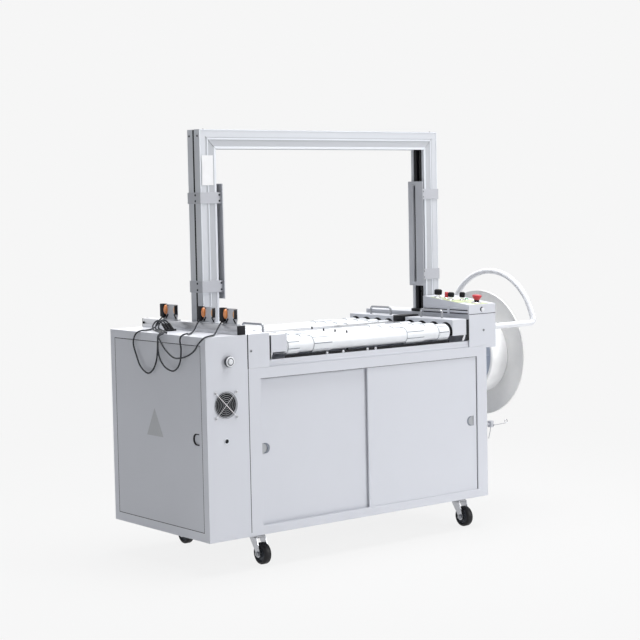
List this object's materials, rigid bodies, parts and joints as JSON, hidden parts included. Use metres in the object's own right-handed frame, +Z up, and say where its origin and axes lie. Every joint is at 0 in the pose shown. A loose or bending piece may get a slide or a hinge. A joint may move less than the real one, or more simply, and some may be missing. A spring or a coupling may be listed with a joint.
{
  "type": "automatic arch strapping machine",
  "caption": "Floor-standing strapping machine with a strap arch over a powered roller table, side cabinet, control box, strap reel with guard hoop, and swivel casters.",
  "frame": {"origin": "centre of the box round the machine without its cables, at floor level", "axes": "+X along the machine towards the strap reel, +Y from the operator's side to the back, +Z up"},
  "size_m": [1.596, 0.602, 1.466],
  "materials": {
    "body_paint": "satin powder coat",
    "arch_paint": "satin powder coat",
    "roller_plastic": "smooth moulded sleeves",
    "hoop_paint": "gloss powder coat",
    "reel_plastic": "moulded core and flange",
    "black_plastic": "fine moulded grain",
    "red_plastic": "moulded",
    "green_plastic": "moulded",
    "cable_rubber": "extruded sheath",
    "caster_rubber": "moulded tread",
    "zinc": "bright zinc plate",
    "machined_steel": "machined",
    "aluminium": "natural anodised",
    "chrome": "chromed wire"
  },
  "bodies": {
    "root": {"main_frame": "body_paint", "electrical_cabinet": "body_paint", "left_housing": "body_paint", "right_housing": "body_paint", "control_box": "body_paint", "rear_panel": "body_paint", "arch_front_profile": "arch_paint", "arch_rear_profile": "arch_paint", "arch_strap_channel": "black_plastic", "arch_bracket_left_lower": "arch_paint", "arch_bracket_left_upper": "arch_paint", "arch_bracket_right_lower": "arch_paint", "arch_bracket_right_upper": "arch_paint", "side_guard_left": "arch_paint", "side_guard_right": "arch_paint", "sensor_bar": "aluminium", "photo_sensor_front": "black_plastic", "photo_sensor_middle": "black_plastic", "photo_sensor_rear": "black_plastic", "cable_gland": "black_plastic", "centre_plate": "zinc", "strapping_head": "machined_steel", "drive_motor": "machined_steel", "fan_frame": "black_plastic", "fan_grille": "chrome", "reel_shaft": "machined_steel", "reel_hoop": "hoop_paint", "sensor_cable_front": "cable_rubber", "sensor_cable_middle": "cable_rubber", "sensor_cable_rear": "cable_rubber"},
    "cabinet_door": {"cabinet_door": "body_paint"},
    "sliding_door_left": {"sliding_door_left": "body_paint"},
    "sliding_door_right": {"sliding_door_right": "body_paint"},
    "front_table": {"front_table": "body_paint"},
    "rear_table": {"rear_table": "body_paint"},
    "front_roller_1": {"front_roller_1": "roller_plastic"},
    "front_roller_2": {"front_roller_2": "roller_plastic"},
    "front_roller_3": {"front_roller_3": "roller_plastic"},
    "front_roller_4": {"front_roller_4": "roller_plastic"},
    "rear_roller_1": {"rear_roller_1": "roller_plastic"},
    "rear_roller_2": {"rear_roller_2": "roller_plastic"},
    "rear_roller_3": {"rear_roller_3": "roller_plastic"},
    "rear_roller_4": {"rear_roller_4": "roller_plastic"},
    "strap_reel": {"strap_reel": "reel_plastic"},
    "caster_fork_front_left": {"caster_fork_front_left": "zinc"},
    "caster_wheel_front_left": {"caster_wheel_front_left": "caster_rubber"},
    "caster_fork_front_right": {"caster_fork_front_right": "zinc"},
    "caster_wheel_front_right": {"caster_wheel_front_right": "caster_rubber"},
    "caster_fork_rear_left": {"caster_fork_rear_left": "zinc"},
    "caster_wheel_rear_left": {"caster_wheel_rear_left": "caster_rubber"},
    "caster_fork_rear_right": {"caster_fork_rear_right": "zinc"},
    "caster_wheel_rear_right": {"caster_wheel_rear_right": "caster_rubber"},
    "speed_dial": {"speed_dial": "black_plastic"},
    "tension_dial": {"tension_dial": "black_plastic"},
    "mode_selector": {"mode_selector": "black_plastic"},
    "reset_button": {"reset_button": "red_plastic"},
    "start_button": {"start_button": "green_plastic"},
    "emergency_stop": {"emergency_stop": "red_plastic"},
    "lock_knob": {"lock_knob": "black_plastic"},
    "fan_rotor": {"fan_rotor": "black_plastic"}
  },
  "joints": [
    {"name": "cabinet_door_hinge", "type": "hinge", "parent": "root", "child": "cabinet_door", "pos_m": [-0.7845, 0.273, 0.45], "axis": [0, 0, -1], "range_deg": [0, 110], "deforming": ["sensor_cable_front", "sensor_cable_middle", "sensor_cable_rear"]},
    {"name": "sliding_door_left_slide", "type": "slide", "parent": "root", "child": "sliding_door_left", "axis": [1, 0, 0], "range_m": [0, 0.45]},
    {"name": "sliding_door_right_slide", "type": "slide", "parent": "root", "child": "sliding_door_right", "axis": [-1, 0, 0], "range_m": [0, 0.45]},
    {"name": "front_table_lift", "type": "hinge", "parent": "root", "child": "front_table", "pos_m": [-0.0735, -0.248, 0.733], "axis": [1, 0, 0], "range_deg": [0, 80]},
    {"name": "rear_table_lift", "type": "hinge", "parent": "root", "child": "rear_table", "pos_m": [-0.0735, 0.266, 0.733], "axis": [-1, 0, 0], "range_deg": [0, 80]},
    {"name": "front_roller_1_spin", "type": "hinge", "parent": "front_table", "child": "front_roller_1", "pos_m": [-0.079, -0.248, 0.733], "axis": [1, 0, 0], "continuous": true},
    {"name": "front_roller_2_spin", "type": "hinge", "parent": "front_table", "child": "front_roller_2", "pos_m": [-0.079, -0.183, 0.733], "axis": [1, 0, 0], "continuous": true},
    {"name": "front_roller_3_spin", "type": "hinge", "parent": "front_table", "child": "front_roller_3", "pos_m": [-0.079, -0.118, 0.733], "axis": [1, 0, 0], "continuous": true},
    {"name": "front_roller_4_spin", "type": "hinge", "parent": "front_table", "child": "front_roller_4", "pos_m": [-0.079, -0.053, 0.733], "axis": [1, 0, 0], "continuous": true},
    {"name": "rear_roller_1_spin", "type": "hinge", "parent": "rear_table", "child": "rear_roller_1", "pos_m": [-0.079, 0.266, 0.733], "axis": [1, 0, 0], "continuous": true},
    {"name": "rear_roller_2_spin", "type": "hinge", "parent": "rear_table", "child": "rear_roller_2", "pos_m": [-0.079, 0.201, 0.733], "axis": [1, 0, 0], "continuous": true},
    {"name": "rear_roller_3_spin", "type": "hinge", "parent": "rear_table", "child": "rear_roller_3", "pos_m": [-0.079, 0.136, 0.733], "axis": [1, 0, 0], "continuous": true},
    {"name": "rear_roller_4_spin", "type": "hinge", "parent": "rear_table", "child": "rear_roller_4", "pos_m": [-0.079, 0.071, 0.733], "axis": [1, 0, 0], "continuous": true},
    {"name": "strap_reel_spin", "type": "hinge", "parent": "root", "child": "strap_reel", "pos_m": [0.6725, 0.009, 0.613], "axis": [1, 0, 0], "continuous": true},
    {"name": "caster_swivel_front_left", "type": "hinge", "parent": "root", "child": "caster_fork_front_left", "pos_m": [-0.5315, -0.195, 0.1077], "axis": [0, 0, 1], "continuous": true},
    {"name": "caster_roll_front_left", "type": "hinge", "parent": "caster_fork_front_left", "child": "caster_wheel_front_left", "pos_m": [-0.5315, -0.223, 0.0375], "axis": [1, 0, 0], "continuous": true},
    {"name": "caster_swivel_front_right", "type": "hinge", "parent": "root", "child": "caster_fork_front_right", "pos_m": [0.3985, -0.195, 0.1077], "axis": [0, 0, 1], "continuous": true},
    {"name": "caster_roll_front_right", "type": "hinge", "parent": "caster_fork_front_right", "child": "caster_wheel_front_right", "pos_m": [0.3985, -0.223, 0.0375], "axis": [1, 0, 0], "continuous": true},
    {"name": "caster_swivel_rear_left", "type": "hinge", "parent": "root", "child": "caster_fork_rear_left", "pos_m": [-0.5315, 0.213, 0.1077], "axis": [0, 0, 1], "continuous": true},
    {"name": "caster_roll_rear_left", "type": "hinge", "parent": "caster_fork_rear_left", "child": "caster_wheel_rear_left", "pos_m": [-0.5315, 0.241, 0.0375], "axis": [1, 0, 0], "continuous": true},
    {"name": "caster_swivel_rear_right", "type": "hinge", "parent": "root", "child": "caster_fork_rear_right", "pos_m": [0.3985, 0.213, 0.1077], "axis": [0, 0, 1], "continuous": true},
    {"name": "caster_roll_rear_right", "type": "hinge", "parent": "caster_fork_rear_right", "child": "caster_wheel_rear_right", "pos_m": [0.3985, 0.241, 0.0375], "axis": [1, 0, 0], "continuous": true},
    {"name": "speed_dial_turn", "type": "hinge", "parent": "root", "child": "speed_dial", "pos_m": [0.4015, -0.093, 0.84595], "axis": [0, -0.1044, 0.9945], "range_deg": [-135, 135]},
    {"name": "tension_dial_turn", "type": "hinge", "parent": "root", "child": "tension_dial", "pos_m": [0.4065, -0.158, 0.83913], "axis": [0, -0.1044, 0.9945], "range_deg": [-135, 135]},
    {"name": "mode_selector_turn", "type": "hinge", "parent": "root", "child": "mode_selector", "pos_m": [0.4425, -0.18, 0.83681], "axis": [0, -0.1044, 0.9945], "range_deg": [-45, 45]},
    {"name": "reset_button_press", "type": "slide", "parent": "root", "child": "reset_button", "axis": [0, 0.1044, -0.9945], "range_m": [0, 0.003], "stiffness_N_per_m": 400, "springref_m": -0.002},
    {"name": "start_button_press", "type": "slide", "parent": "root", "child": "start_button", "axis": [0, 0.1044, -0.9945], "range_m": [0, 0.003], "stiffness_N_per_m": 400, "springref_m": -0.002},
    {"name": "emergency_stop_press", "type": "slide", "parent": "root", "child": "emergency_stop", "axis": [0, 0.1044, -0.9945], "range_m": [0, 0.004], "stiffness_N_per_m": 800, "springref_m": -0.002},
    {"name": "lock_knob_turn", "type": "hinge", "parent": "root", "child": "lock_knob", "pos_m": [-0.6965, -0.283, 0.702], "axis": [0, -1, 0], "range_deg": [0, 90]},
    {"name": "fan_rotor_spin", "type": "hinge", "parent": "root", "child": "fan_rotor", "pos_m": [-0.7085, -0.2682, 0.561], "axis": [0, 1, 0], "continuous": true}
  ],
  "couplings": [
    {"joint": "front_roller_2_spin", "follows": "front_roller_1_spin", "ratio": 1},
    {"joint": "front_roller_3_spin", "follows": "front_roller_1_spin", "ratio": 1},
    {"joint": "front_roller_4_spin", "follows": "front_roller_1_spin", "ratio": 1},
    {"joint": "rear_roller_2_spin", "follows": "rear_roller_1_spin", "ratio": 1},
    {"joint": "rear_roller_3_spin", "follows": "rear_roller_1_spin", "ratio": 1},
    {"joint": "rear_roller_4_spin", "follows": "rear_roller_1_spin", "ratio": 1}
  ]
}
